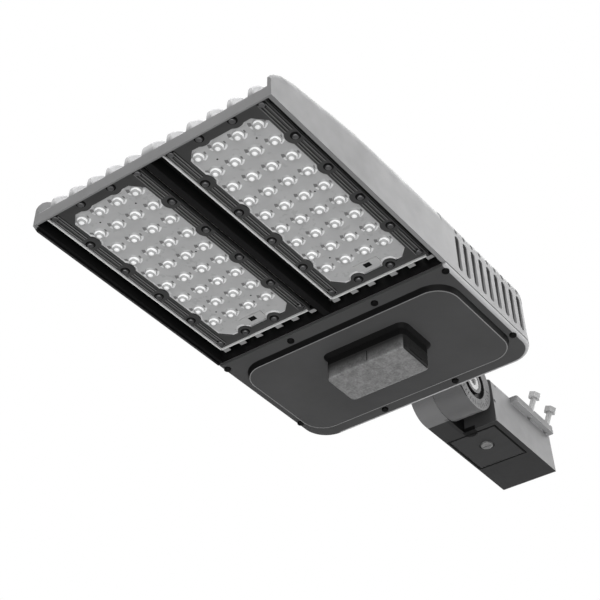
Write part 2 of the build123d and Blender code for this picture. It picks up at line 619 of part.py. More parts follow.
# Knuckle on the head's rear wall
knuckle_middle = (KNUCKLE_X[0] + KNUCKLE_X[1]) / 2
knuckle_width = KNUCKLE_X[1] - KNUCKLE_X[0]
neck = block(KNUCKLE_X, (HEAD_LENGTH - 20, PIVOT_Y), NECK_Z)
neck = fillet(neck.edges().filter_by(Axis.Y), 4)
neck_gasket = neck - BAY_SHELL
neck -= Pos(0, NECK_FLANGE_GASKET, 0) * BAY_SHELL
neck_gasket -= neck
knuckle = neck + rod(KNUCKLE_R, (KNUCKLE_X[0], PIVOT_Y, PIVOT_Z), (1, 0, 0), knuckle_width)
face_x = KNUCKLE_X[1]
groove = rod(DIAL_GROOVE[1], (face_x - DIAL_GROOVE_DEPTH, PIVOT_Y, PIVOT_Z), (1, 0, 0), DIAL_GROOVE_DEPTH + 1)
groove -= rod(DIAL_GROOVE[0], (face_x - DIAL_GROOVE_DEPTH - 1, PIVOT_Y, PIVOT_Z), (1, 0, 0), DIAL_GROOVE_DEPTH + 3)
knuckle -= groove
for index in range(DIAL_TICKS):
    angle = math.radians(-90 + (index - DIAL_TICKS // 2) * DIAL_TICK_STEP)
    long_tick = index % 3 == 0
    inner_r = 30.0 if long_tick else 32.5
    mark = Box(1.2, DIAL_RING_R - inner_r, 0.9)
    middle_r = (DIAL_RING_R + inner_r) / 2
    at = (face_x, PIVOT_Y + middle_r * math.cos(angle), PIVOT_Z + middle_r * math.sin(angle))
    knuckle -= Pos(*at) * Rot(math.degrees(angle), 0, 0) * mark
chamber = rod(33, (KNUCKLE_X[0] - 1, PIVOT_Y, PIVOT_Z), (1, 0, 0), 25) - rod(
    15, (KNUCKLE_X[0] - 2, PIVOT_Y, PIVOT_Z), (1, 0, 0), 30
)
knuckle -= chamber
wire_x = knuckle_middle - 6
knuckle -= rod(WIRE_HOLE_R, (wire_x, HEAD_LENGTH - 20, PIVOT_Z), (0, 1, 0), 55)
neck_gasket -= rod(WIRE_HOLE_R, (wire_x, HEAD_LENGTH - 20, PIVOT_Z), (0, 1, 0), 55)
housing -= rod(WIRE_HOLE_R + 2, (wire_x, HEAD_LENGTH - 25, PIVOT_Z), (0, 1, 0), 30)
bolt_bore = rod(PIVOT_BOLT_R + PIVOT_CLEARANCE, (-OUTSIDE, PIVOT_Y, PIVOT_Z), (1, 0, 0), 2 * OUTSIDE)
knuckle -= bolt_bore
knuckle -= rod(PIVOT_HEAD_R + FACE_GAP, (face_x - PIVOT_HEAD_HEIGHT, PIVOT_Y, PIVOT_Z), (1, 0, 0), 20)
bush_y = HEAD_LENGTH - BAY_WALL - 2
bushing = rod(WIRE_HOLE_R + 2, (wire_x, bush_y - 3, PIVOT_Z), (0, 1, 0), 6 + 3)
bushing += rod(WIRE_HOLE_R + 5, (wire_x, bush_y - 3, PIVOT_Z), (0, 1, 0), 3)
bushing -= rod(5, (wire_x, bush_y - 5, PIVOT_Z), (0, 1, 0), 20)
bushing &= BAY_SHELL
save("wire_bushing", bushing)
neck_bolts = []
for dx in (-NECK_BOLT_X, NECK_BOLT_X):
    for dz in (-NECK_BOLT_Z, NECK_BOLT_Z):
        at = (knuckle_middle + dx, bush_y, PIVOT_Z + dz)
        neck_bolts.append(
            rod(NECK_BOLT_R, at, (0, 1, 0), 26) + hexagon(13, at, (0, -1, 0), 5.5)
        )
        hole = rod(NECK_BOLT_R + 0.4, (at[0], at[1] - 2, at[2]), (0, 1, 0), 14)
        housing -= hole
        neck_gasket -= hole
        knuckle -= rod(NECK_BOLT_R, at, (0, 1, 0), 26)
save("neck_bolts", Compound(children=neck_bolts))
save("neck_gasket", neck_gasket)
save("head_knuckle", knuckle)
save("housing", housing)

# Arm with its ear beside the knuckle
ear_r = PIVOT_Z - ARM_BOTTOM
section = Polyline(
    (-ARM_HALF_BOTTOM, ARM_BOTTOM), (ARM_HALF_BOTTOM, ARM_BOTTOM), (ARM_HALF_TOP, ARM_TOP), (-ARM_HALF_TOP, ARM_TOP), close=True
)
arm = Pos(0, ARM_END, 0) * extrude(Plane.XZ * make_face(section), amount=ARM_END - ARM_FRONT)
arm = fillet(arm.edges().filter_by(Axis.Y).sort_by(Axis.Z)[-2:], 6)
rear_edges = [e for e in arm.edges() if abs(e.center().Y - ARM_END) < 0.01]
arm = fillet(rear_edges, ARM_EDGE)
ear_x = (-ARM_HALF_BOTTOM, KNUCKLE_X[0] - FACE_GAP)
ear_profile = [
    (PIVOT_Y, ARM_BOTTOM),
    (ARM_FRONT + 6, ARM_BOTTOM),
    (ARM_FRONT + 6, ARM_TOP - 3),
    (ARM_FRONT, ARM_TOP - 1),
    (PIVOT_Y + 14, PIVOT_Z + ear_r * math.cos(math.asin(14 / ear_r))),
    (PIVOT_Y, PIVOT_Z),
]
ear = along_x(ear_profile, *ear_x)
ear += rod(ear_r, (ear_x[0], PIVOT_Y, PIVOT_Z), (1, 0, 0), ear_x[1] - ear_x[0])
lean = (ARM_HALF_BOTTOM - ARM_HALF_TOP) / (ARM_TOP - ARM_BOTTOM)
ear_cut = Plane.XZ * make_face(
    Polyline(
        (-ARM_HALF_BOTTOM, ARM_BOTTOM),
        (-ARM_HALF_BOTTOM + lean * 2 * ear_r, ARM_BOTTOM + 2 * ear_r),
        (-OUTSIDE, ARM_BOTTOM + 2 * ear_r),
        (-OUTSIDE, ARM_BOTTOM),
        close=True,
    )
)
ear -= Pos(0, ARM_FRONT + 20, 0) * extrude(ear_cut, amount=ARM_FRONT - PIVOT_Y + 97)
arm += ear
arm -= block((-OUTSIDE, OUTSIDE), (LEDGE_START - 2, ARM_END + 1), (SPLIT_Z, ARM_TOP + 20))
ledge = block((-LEDGE_HALF, LEDGE_HALF), (LEDGE_START, ARM_END - ARM_EDGE), (LEDGE_Z, SPLIT_Z))
arm += fillet(ledge.edges().filter_by(Axis.Z), 3)
bore_start = ARM_END - TENON_DEPTH
arm -= rod(TENON_R, (0, bore_start, TENON_Z), (0, 1, 0), TENON_DEPTH + 1)
room_half = ARM_HALF_TOP - ARM_WALL
arm -= block((-room_half, room_half), (ARM_FRONT + ARM_WALL + 6, WIRING_END), (ARM_BOTTOM - 1, ARM_TOP - ARM_WALL))
arm -= rod(12, (0, WIRING_END - 2, TENON_Z + 6), (0, 1, 0), bore_start - WIRING_END + 4)
arm -= rod(WIRE_HOLE_R, (-22, PIVOT_Y + 16, PIVOT_Z), (0, 1, 0), ARM_FRONT - PIVOT_Y + ARM_WALL)
arm -= rod(WIRE_HOLE_R - 1, (-22, PIVOT_Y + 24, PIVOT_Z), (1, 0, 0), 20)
arm -= bolt_bore
nut_seat = -ARM_HALF_BOTTOM + PIVOT_NUT_HEIGHT + PIVOT_WASHER
arm -= rod(PIVOT_NUT_FLATS / 2 + 4, (-OUTSIDE, PIVOT_Y, PIVOT_Z), (1, 0, 0), OUTSIDE + nut_seat)
for y, z, radius in ((ARM_FRONT + 3, 27.5, 2.6), (ARM_FRONT + 12, 56.0, 1.4)):
    arm -= rod(radius, (ARM_HALF_TOP - 2, y, z), (1, 0, 0), 10)
hatch_seat = ARM_BOTTOM + HATCH_THICKNESS + HATCH_GASKET
arm -= block(HATCH_X, HATCH_Y, (ARM_BOTTOM - 1, hatch_seat))
arm -= rod(HATCH_SCREW_R, (0, HATCH_SCREW_Y, ARM_BOTTOM), (0, 0, 1), 22)

# Wiring cover of the arm
hatch_x = (HATCH_X[0] + HATCH_GAP, HATCH_X[1] - HATCH_GAP)
hatch_y = (HATCH_Y[0] + HATCH_GAP, HATCH_Y[1] - HATCH_GAP)
hatch = block(hatch_x, hatch_y, (ARM_BOTTOM, ARM_BOTTOM + HATCH_THICKNESS))
hatch_gasket = block(
    (hatch_x[0] + 1, hatch_x[1] - 1), (hatch_y[0] + 1, hatch_y[1] - 1), (ARM_BOTTOM + HATCH_THICKNESS, hatch_seat)
)
hatch_gasket -= block(
    (-room_half + 2, room_half - 2), (ARM_FRONT + ARM_WALL + 8, WIRING_END - 2), (ARM_BOTTOM, hatch_seat + 1)
)
hatch -= rod(HATCH_DISH_R, (0, HATCH_SCREW_Y, ARM_BOTTOM - 1), (0, 0, 1), 1 + HATCH_DISH_DEPTH)
notch_y = hatch_y[0] + HATCH_NOTCH_DEPTH - HATCH_NOTCH_R
hatch -= rod(HATCH_NOTCH_R, (HATCH_NOTCH_X, notch_y, ARM_BOTTOM - 1), (0, 0, 1), 10)
hatch_hole = rod(HATCH_SCREW_R + SCREW_CLEARANCE, (0, HATCH_SCREW_Y, ARM_BOTTOM - 1), (0, 0, 1), 10)
hatch -= hatch_hole
hatch_gasket -= hatch_hole
head_z = ARM_BOTTOM + HATCH_DISH_DEPTH
hatch_head = fillet(rod(HATCH_HEAD_R, (0, HATCH_SCREW_Y, head_z), (0, 0, -1), 3.4).edges().sort_by(Axis.Z)[:1], 1.6)
hatch_screw = hatch_head + rod(HATCH_SCREW_R, (0, HATCH_SCREW_Y, head_z), (0, 0, 1), 20)
hatch_screw -= block((-6, 6), (HATCH_SCREW_Y - 0.8, HATCH_SCREW_Y + 0.8), (head_z - 4, head_z - 2.0))
save("arm_cover", hatch)
save("arm_cover_gasket", hatch_gasket)
save("arm_cover_screw", hatch_screw)

# Clamp over the tenon and its bolts
clamp_y = (LEDGE_START + 3, ARM_END - ARM_EDGE - 1)
clamp = block((-LEDGE_HALF, LEDGE_HALF), clamp_y, (SPLIT_Z, SPLIT_Z + CLAMP_EAR))
clamp = fillet(clamp.edges().filter_by(Axis.Z), 3)
arch = rod(TENON_R + CLAMP_THICKNESS, (0, clamp_y[0], TENON_Z), (0, 1, 0), clamp_y[1] - clamp_y[0])
clamp += arch & block((-OUTSIDE, OUTSIDE), clamp_y, (SPLIT_Z, SPLIT_Z + 40))
clamp -= rod(TENON_R, (0, clamp_y[0] - 1, TENON_Z), (0, 1, 0), clamp_y[1] - clamp_y[0] + 2)
tilt = math.radians(CLAMP_BOLT_TILT)
tenon_bolts = []
for side in (-1, 1):
    for y in CLAMP_BOLT_Y:
        up = (side * math.sin(tilt), 0, math.cos(tilt))
        low = (side * CLAMP_BOLT_X - up[0] * CLAMP_BOLT_BELOW, y, CLAMP_BOLT_Z - up[2] * CLAMP_BOLT_BELOW)
        high = (side * CLAMP_BOLT_X + up[0] * CLAMP_BOLT_ABOVE, y, CLAMP_BOLT_Z + up[2] * CLAMP_BOLT_ABOVE)
        bolt = rod(CLAMP_BOLT_R, low, up, CLAMP_BOLT_BELOW + CLAMP_BOLT_ABOVE)
        bolt += hexagon(CLAMP_HEAD_FLATS, high, up, CLAMP_HEAD_HEIGHT)
        tenon_bolts.append(bolt)
        long_low = (low[0] - up[0] * 4, y, low[2] - up[2] * 4)
        arm -= rod(CLAMP_BOLT_R, long_low, up, 40)
        clamp -= rod(CLAMP_BOLT_R + 0.6, long_low, up, 60)
save("tenon_bolts", Compound(children=tenon_bolts))
save("tenon_clamp", clamp)
save("arm_body", arm)

# Pivot bolt, washer and nut
head_start = face_x - PIVOT_HEAD_HEIGHT
bolt_end = -ARM_HALF_BOTTOM + 1.5
pivot_bolt = rod(PIVOT_BOLT_R, (bolt_end, PIVOT_Y, PIVOT_Z), (1, 0, 0), head_start - bolt_end)
pivot_head = rod(PIVOT_HEAD_R, (head_start, PIVOT_Y, PIVOT_Z), (1, 0, 0), PIVOT_HEAD_HEIGHT - 0.5)
pivot_bolt += pivot_head
pivot_bolt -= hexagon(12, (head_start + 2.5, PIVOT_Y, PIVOT_Z), (1, 0, 0), 10)
washer = rod(PIVOT_NUT_FLATS / 2 + 3, (nut_seat - PIVOT_WASHER, PIVOT_Y, PIVOT_Z), (1, 0, 0), PIVOT_WASHER)
washer -= rod(PIVOT_BOLT_R, (-OUTSIDE, PIVOT_Y, PIVOT_Z), (1, 0, 0), OUTSIDE)
nut_start = nut_seat - PIVOT_WASHER
nut = hexagon(PIVOT_NUT_FLATS, (nut_start, PIVOT_Y, PIVOT_Z), (-1, 0, 0), PIVOT_NUT_HEIGHT - 1.5)
nut -= rod(PIVOT_BOLT_R, (-OUTSIDE, PIVOT_Y, PIVOT_Z), (1, 0, 0), OUTSIDE)
save("pivot_bolt", pivot_bolt)
save("pivot_washer", washer)
save("pivot_nut", nut)
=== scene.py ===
"""Looks, light and camera for the pole-mounted LED area light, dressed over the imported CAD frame.

Places and sizes are in millimetres of the head's own frame, unless a line says otherwise: x = 0 is
the head's middle, y = 0 its front, with y growing towards the arm, and z = 0 lies at the lenses,
with z growing upwards. A drop is how far a point hangs below the face that carries it.
"""
import math

import bmesh
import bpy
from mathutils import Matrix, Vector


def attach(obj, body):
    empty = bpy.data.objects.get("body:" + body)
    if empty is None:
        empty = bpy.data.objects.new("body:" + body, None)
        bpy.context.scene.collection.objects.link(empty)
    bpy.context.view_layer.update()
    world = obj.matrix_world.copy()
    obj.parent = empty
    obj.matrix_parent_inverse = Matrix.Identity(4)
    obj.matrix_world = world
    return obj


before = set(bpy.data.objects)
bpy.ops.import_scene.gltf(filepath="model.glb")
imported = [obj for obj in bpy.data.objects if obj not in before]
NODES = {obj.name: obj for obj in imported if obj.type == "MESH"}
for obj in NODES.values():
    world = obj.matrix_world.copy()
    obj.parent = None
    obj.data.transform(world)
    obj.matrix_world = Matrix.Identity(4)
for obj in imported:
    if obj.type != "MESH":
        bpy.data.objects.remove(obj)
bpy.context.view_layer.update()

HEAD_TO_ORIGIN = Vector((0, 800, 30))  # the part's origin, in the head's own frame


def mm(x, y, z):
    """A place in the head's own frame, as metres in the part's frame."""
    return (Vector((x, y, z)) - HEAD_TO_ORIGIN) / 1000


# Camera at the photograph's viewing angle: angles in radians, distance in metres
AZIMUTH = 0.6444978
ELEVATION = -0.6692571
ROLL = 0.0010106
DISTANCE = 1.7091860
TARGET = mm(-16.7688, 289.4345, 0)
FOCAL = 87.257
SENSOR = 36

back = Vector((
    math.sin(AZIMUTH) * math.cos(ELEVATION),
    -math.cos(AZIMUTH) * math.cos(ELEVATION),
    math.sin(ELEVATION),
))
right = Vector((math.cos(AZIMUTH), math.sin(AZIMUTH), 0))
up = back.cross(right)
right_rolled = right * math.cos(ROLL) + up * math.sin(ROLL)
up_rolled = up * math.cos(ROLL) - right * math.sin(ROLL)
turn = Matrix((right_rolled, up_rolled, back)).transposed()
camera_data = bpy.data.cameras.new("camera")
camera = bpy.data.objects.new("camera", camera_data)
bpy.context.scene.collection.objects.link(camera)
camera_data.sensor_width = SENSOR
camera_data.lens = FOCAL
camera_data.clip_start = 0.01
camera_data.clip_end = 100
camera.matrix_world = Matrix.Translation(TARGET + back * DISTANCE) @ turn.to_4x4()
bpy.context.scene.camera = camera
bpy.context.scene.view_settings.view_transform = "Standard"

NOISE_ENDS = (0.3, 0.7)  # noise mostly runs between these values
EDGE = 0.3  # half the width of a zone's blurred edge
COOL = (1, 1, 1.01)  # tint of coats and steel
BLACK = 0.006
NEAR_BLACK = 0.02  # plastics darker than this are also duller
COAT_GLOSS = 0.12  # specular level of coats and the frosted lens, so that black zones of painted shade stay black
DULL_GLOSS = 0.08  # specular level of the near-black plastics


class Nodes:
    """Adds nodes to one tree and links them."""

    def __init__(self, tree):
        self.tree = tree

    def node(self, kind, inputs=None, **values):
        """A new node; each input takes a number, a colour, a vector or another node's output."""
        made = self.tree.nodes.new(kind)
        for key, value in values.items():
            setattr(made, key, value)
        for key, value in (inputs or {}).items():
            if isinstance(value, bpy.types.NodeSocket):
                self.tree.links.new(value, made.inputs[key])
            else:
                made.inputs[key].default_value = value
        return made

    def math(self, operation, a, b=0.0):
        return self.node("ShaderNodeMath", {0: a, 1: b}, operation=operation).outputs["Value"]

    def span(self, value, from_low, from_high, low=0.0, high=1.0, shape="LINEAR"):
        """Map a value from one range to another, held at both ends."""
        made = self.node("ShaderNodeMapRange", {
            "Value": value, "From Min": from_low, "From Max": from_high,
            "To Min": low, "To Max": high,
        }, interpolation_type=shape)
        return made.outputs["Result"]


class Shader(Nodes):
    """One material with a Principled shader, whose patterns follow the object's coordinates."""

    def __init__(self, name):
        self.material = bpy.data.materials.new(name)
        self.material.use_nodes = True
        super().__init__(self.material.node_tree)
        self.bsdf = self.tree.nodes["Principled BSDF"]
        self.coords = self.node("ShaderNodeTexCoord").outputs["Object"]
        self.axes = self.node("ShaderNodeSeparateXYZ", {"Vector": self.coords}).outputs

    def set(self, socket, value):
        self.bsdf.inputs[socket].default_value = value

    def colour(self, source):
        self.tree.links.new(source, self.bsdf.inputs["Base Color"])

    def noise(self, scale, detail=3.0, stretch=None):
        """A noise value, stretched along an axis if asked."""
        source = self.coords
        if stretch:
            mapping = self.node("ShaderNodeMapping", {"Vector": source, "Scale": stretch})
            source = mapping.outputs["Vector"]
        made = self.node("ShaderNodeTexNoise", {
            "Vector": source, "Scale": scale, "Detail": detail, "Roughness": 0.55})
        return made.outputs["Fac"]

    def ramp(self, value, low, high, ends=NOISE_ENDS):
        """A colour that runs from low to high between two values."""
        made = self.node("ShaderNodeValToRGB", {"Fac": value})
        for element, place, colour in zip(made.color_ramp.elements, ends, (low, high)):
            element.position = place
            element.color = (*colour, 1)
        return made.outputs["Color"]

    def blend(self, factor, a, b):
        """Colour a where the factor is 0 and b, which may be a plain colour, where it is 1."""
        if isinstance(b, tuple):
            b = (*b, 1)
        made = self.node("ShaderNodeMix", {"Factor": factor, 6: a, 7: b}, data_type="RGBA")
        return made.outputs[2]

    def roughness(self, scale, detail, low, high):
        """Roughness that wanders between two values."""
        value = self.span(self.noise(scale, detail), *NOISE_ENDS, low, high)
        self.tree.links.new(value, self.bsdf.inputs["Roughness"])

    def bump(self, value, strength, distance):
        """Relief from a noise value; distance in metres."""
        made = self.node("ShaderNodeBump", {
            "Height": value, "Strength": strength, "Distance": distance})
        self.tree.links.new(made.outputs["Normal"], self.bsdf.inputs["Normal"])

    def inside_box(self, low, high, soft):
        """1 inside a box given by two corners, else 0, with soft edges; all in metres."""
        value = 1.0
        for place, start, end in zip(self.axes, low, high):
            rising = self.span(place, start - soft, start + soft)
            falling = self.span(place, end - soft, end + soft, 1.0, 0.0)
            within = self.math("MULTIPLY", rising, falling)
            value = self.math("MULTIPLY", value, within)
        return value


def grey(value, tint=(1, 1, 1)):
    return tuple(value * t for t in tint)


def cloudy(s, value, tint=(1, 1, 1), scale=14.0, change=0.07):
    """A faintly cloudy colour round one value."""
    low, high = grey(value * (1 - change), tint), grey(value * (1 + change), tint)
    return s.ramp(s.noise(scale, 4.0), low, high)


def zone(value, x, y, z, soft=EDGE):
    """A box of a surface that has a value of its own, most often painted shade or painted light."""
    return value, mm(x[0], y[0], z[0]), mm(x[1], y[1], z[1]), soft / 1000


def zoned(s, colour, tint, zones):
    """Lay zones over a colour."""
    for value, low, high, soft in zones:
        colour = s.blend(s.inside_box(low, high, soft), colour, cloudy(s, value, tint))
    return colour


# Sizes of the head, and of the painted highlight along the rim, which follows the bay's outline
# except at its left side
HEAD_HALF = 165.0
HEAD_LENGTH = 532.5
BAY_CORNER = 34.0
RIM_SOFT = 0.4
RIM_LEFT = (-132, -128)  # where the rim starts in x
RIM_BEHIND = (530, 531)  # where, in y, it is as light at any x


def bay_rim_highlight(s, width):
    """Mask of the painted highlight along the rim: 1 within a width of the bay's outline, else 0;
    the width is in metres.
    """
    corner, soft = BAY_CORNER / 1000, RIM_SOFT / 1000
    middle = mm(HEAD_HALF - BAY_CORNER, HEAD_LENGTH - BAY_CORNER, 0)
    x, y = s.axes[0], s.axes[1]
    across = s.math("MAXIMUM", s.math("SUBTRACT", s.math("ABSOLUTE", x), middle[0]), 0.0)
    along = s.math("MAXIMUM", s.math("SUBTRACT", y, middle[1]), 0.0)
    squares = [s.math("MULTIPLY", value, value) for value in (across, along)]
    reach = s.math("SQRT", s.math("ADD", *squares))
    near = s.span(reach, corner - width - soft, corner - width + soft)
    off_left = s.span(x, *(mm(edge, 0, 0)[0] for edge in RIM_LEFT))
    behind = s.span(y, *(mm(0, edge, 0)[1] for edge in RIM_BEHIND))
    return s.math("MULTIPLY", near, s.math("MAXIMUM", off_left, behind))


def powder_coat(name, value, rough, zones=(), rim=None, painted_light_ramp=None):
    """Baked powder coat with fine orange peel.

    zones have values of their own, most of them painted shade or painted light; rim is the width
    and value of a painted highlight along the bay's outline; and the ramp of painted light, the
    last argument, is a first y, a last y and the value that the coat reaches there, a painted
    brightening towards the rear.
    """
    s = Shader(name)
    s.set("Specular IOR Level", COAT_GLOSS)
    colour = cloudy(s, value, COOL)
    if painted_light_ramp:
        painted_light_rise = s.span(s.axes[1], *(mm(0, edge, 0)[1] for edge in painted_light_ramp[:2]))
        colour = s.blend(painted_light_rise, colour, cloudy(s, painted_light_ramp[2], COOL))
    colour = zoned(s, colour, COOL, zones)
    # painted highlight along the bay's outline
    if rim:
        colour = s.blend(bay_rim_highlight(s, rim[0] / 1000), colour, grey(rim[1], COOL))
    s.colour(colour)
    s.roughness(60.0, 5.0, rough - 0.05, rough + 0.07)
    s.bump(s.noise(900.0, 2.0), 0.07, 0.0004)
    return s.material


def plastic(name, value, rough, grain=1600.0, strength=0.10, change=0.05):
    """Moulded plastic, or a cast or plated surface if its grain is coarse."""
    s = Shader(name)
    if value < NEAR_BLACK:
        s.set("Specular IOR Level", DULL_GLOSS)
    s.colour(cloudy(s, value, scale=22.0, change=change))
    s.roughness(90.0, 4.0, rough - 0.04, rough + 0.06)
    s.bump(s.noise(grain, 2.0), strength, 0.0003)
    return s.material


def steel(name, value, rough):
    """Turned or drawn steel with fine streaks."""
    s = Shader(name)
    s.set("Metallic", 1.0)
    streak = s.noise(900.0, 2.0, stretch=(1, 1, 0.08))
    s.colour(s.ramp(streak, grey(value * 0.85, COOL), grey(value * 1.1, COOL)))
    s.roughness(200.0, 3.0, rough - 0.06, rough + 0.10)
    s.bump(streak, 0.08, 0.0002)
    return s.material


def solder_mask(name):
    """White solder mask with the faint marks of copper tracks under it."""
    s = Shader(name)
    s.colour(s.ramp(s.noise(45.0, 2.0), (0.66, 0.66, 0.64), (0.78, 0.78, 0.76), (0.35, 0.6)))
    s.roughness(300.0, 2.0, 0.35, 0.5)
    return s.material


def phosphor_look(name):
    """The yellow phosphor of the chips."""
    s = Shader(name)
    s.colour(s.ramp(s.noise(900.0, 2.0), (0.85, 0.62, 0.12), (0.95, 0.76, 0.22)))
    s.set("Roughness", 0.4)
    return s.material


def optic(name, value, rough):
    """Moulded optics over a white board: milky where they are thin, glossy on the domes; the white
    and grey bands of the domes, the light wedges and the lighter plate edge are painted highlights
    and painted shade.
    """
    s = Shader(name)
    s.colour(cloudy(s, value, (1, 1.003, 1.008), 60.0, 0.05))
    s.set("IOR", 1.49)
    s.roughness(120.0, 3.0, rough - 0.04, rough + 0.04)
    s.bump(s.noise(700.0, 2.0), 0.04, 0.0002)
    return s.material


def frosted(name, value, rough, root, zones=()):
    """Frosted grey plastic, mottled, finely pitted and darker towards its root as painted shade.

    root is the z where the painted shade starts and the z where it is darkest.
    """
    s = Shader(name)
    s.set("Specular IOR Level", COAT_GLOSS)
    coarse, fine = (s.math("MULTIPLY", s.noise(scale), 0.5) for scale in (95.0, 420.0))
    mottle = s.math("ADD", coarse, fine)
    colour = s.ramp(mottle, grey(value * 0.70), grey(value * 1.26), (0.38, 0.62))
    # painted shade towards the root
    darker = s.span(s.axes[2], *(mm(0, 0, edge)[2] for edge in root))
    colour = s.blend(darker, colour, grey(value * 0.12))
    s.colour(zoned(s, colour, (1, 1, 1), zones))
    s.roughness(300.0, 2.0, rough - 0.05, rough + 0.08)
    s.bump(s.noise(650.0, 3.0), 0.5, 0.0006)
    return s.material


# Zones whose value differs from the rest of their coat, as the photograph shows them
# Most of these zones are painted shade or painted light, as each line says; the dial ticks are
# marks
RECESS_X = (-159.9, 159.9)
HOUSING_ZONES = [
    zone(0.55, (-156, 156), (-6, 26), (8, 90), 4),  # fin tips, lighter as a painted highlight where light falls from above
    zone(BLACK, RECESS_X, (2, 310.5), (-16, 8)),  # painted shade in the recess round the modules
    zone(BLACK, RECESS_X, (310.5, 320.5), (0.4, 40)),  # painted shade in the air gap
    zone(BLACK, RECESS_X, (318.4, 321.5), (-16, 8)),  # painted shade on the wall behind the air gap
    zone(BLACK, (-166, -156), (4, 321), (-14, -9.9)),  # painted shade on the left rim
    zone(BLACK, (-164.6, -150), (305, 321), (-14, 2)),  # painted shade on the rear end of the left rim
    zone(BLACK, (-14, 14), (309, 320.5), (-12, 8)),  # painted shade on the rear end of the rib between the modules
    zone(0.07, (144.5, 161.5), (330, 511), (-12, 55)),  # painted shade inside the right slots
    zone(0.07, (-161.5, -144.5), (330, 511), (-12, 55)),  # painted shade inside the left slots
]
KNUCKLE_ZONES = [
    zone(0.03, (34.6, 35.8), (561, 633), (0, 72)),  # dial ticks
    zone(0.015, (30.4, 35.4), (570, 624), (9, 63)),  # painted shade in the dial groove
]
ARM_ZONES = [
    zone(0.038, (-60, 60), (603, 796.4), (-8, -5.7)),  # underside, darker as painted shade
    zone(0.05, (-60, 39.8), (639, 640.6), (-5.7, 62)),  # painted shade on the face towards the head
    zone(BLACK, (-11, 8), (638.5, 649), (-8, 0)),  # painted shade in the half-round notch
    zone(BLACK, (-13.5, -7.6), (598, 641), (-5.9, 26)),  # painted shade on the inner side of the ear
    zone(0.32, (37.5, 60), (692, 801), (50.5, 53.3)),  # underside of the ledge, lightened as painted light against its shade
]
COVER_ZONES = [zone(BLACK, (-160, 160), (325, 520), (-22.8, -15.5))]  # painted shade on the side of the raised panel
SENSOR_ZONES = [zone(0.015, (68.6, 80), (375, 460), (-60.5, -20))]  # painted shade on the right side

# Looks: name, value, roughness
# The housing's coat pales towards the rear as painted light
housing_paint = powder_coat(
    "paint_housing", 0.196, 0.46, zones=HOUSING_ZONES, painted_light_ramp=(150, 330, 0.255))
knuckle_paint = powder_coat("paint_knuckle", 0.130, 0.46, zones=KNUCKLE_ZONES)
arm_paint = powder_coat("paint_arm", 0.175, 0.46, zones=ARM_ZONES)
# the cover's rim carries a painted highlight
cover_paint = powder_coat("paint_cover", 0.066, 0.48, zones=COVER_ZONES, rim=(4.8, 0.42))
hatch_paint = powder_coat("paint_hatch", 0.046, 0.48)
bezel_plastic = plastic("bezel_plastic", 0.04, 0.42)
# Painted highlight on the bezel's ridges
ridge_highlight = plastic("ridge_highlight", 0.62, 0.40)
rubber = plastic("seal_rubber", 0.012, 0.6)
pale_rubber = plastic("pale_rubber", 0.45, 0.55)
board_mask = solder_mask("board_mask")
plate_optic = optic("plate_optic", 0.43, 0.30)
# Lens domes: white bands are painted highlights, grey groove bands painted shade
dome_highlight_optic = optic("dome_highlight_optic", 0.98, 0.16)
groove_shade_optic = optic("groove_shade_optic", 0.42, 0.35)
# Painted highlight on the lens plate's edge
plate_edge_highlight = optic("plate_edge_highlight", 0.55, 0.30)
# Painted highlights on the wedges beside the lenses
wing_highlight_optic = optic("wing_highlight_optic", 0.80, 0.30)
rib_plastic = plastic("rib_plastic", 0.17, 0.42)
# Painted highlight on the raised panel's edge
panel_edge_highlight = plastic("panel_edge_highlight", 0.22, 0.5)
# Near black, for dark marks and seams, and for painted shade in gaps, a slit, openings, beside ribs
# and round screws
dark_mark_and_shade = plastic("dark_mark_and_shade", BLACK, 0.7)
# Painted shade in the slits beside the lenses
slit_shade = plastic("slit_shade", 0.16, 0.6)
phosphor = phosphor_look("phosphor")
bright_steel = steel("bright_steel", 0.62, 0.34)
dull_steel = steel("dull_steel", 0.20, 0.40)
hatch_zinc = plastic("hatch_zinc", 0.17, 0.45, grain=500.0, strength=0.4, change=0.25)
bolt_zinc = plastic("bolt_zinc", 0.36, 0.45, grain=500.0, strength=0.4, change=0.25)
# Near black: painted shade of the cover screws' recessed holes, put on the screws
screw_shade_black = plastic("screw_shade_black", 0.004, 0.5)
connector_plastic = plastic("connector_plastic", 0.42, 0.42)
# Painted highlight on the air gap's rib pads
pad_highlight = plastic("pad_highlight", 0.30, 0.45)
# Near black: the sensor base's own dark plastic, also standing for painted shade round the sensor's
# root
sensor_shell = plastic("sensor_shell", BLACK, 0.6)
sensor_lens = frosted("sensor_lens_plastic", 0.235, 0.5, root=(-61, -40), zones=SENSOR_ZONES)
driver_case = steel("driver_case", 0.65, 0.4)
terminal_plastic = plastic("terminal_plastic", 0.6, 0.45)

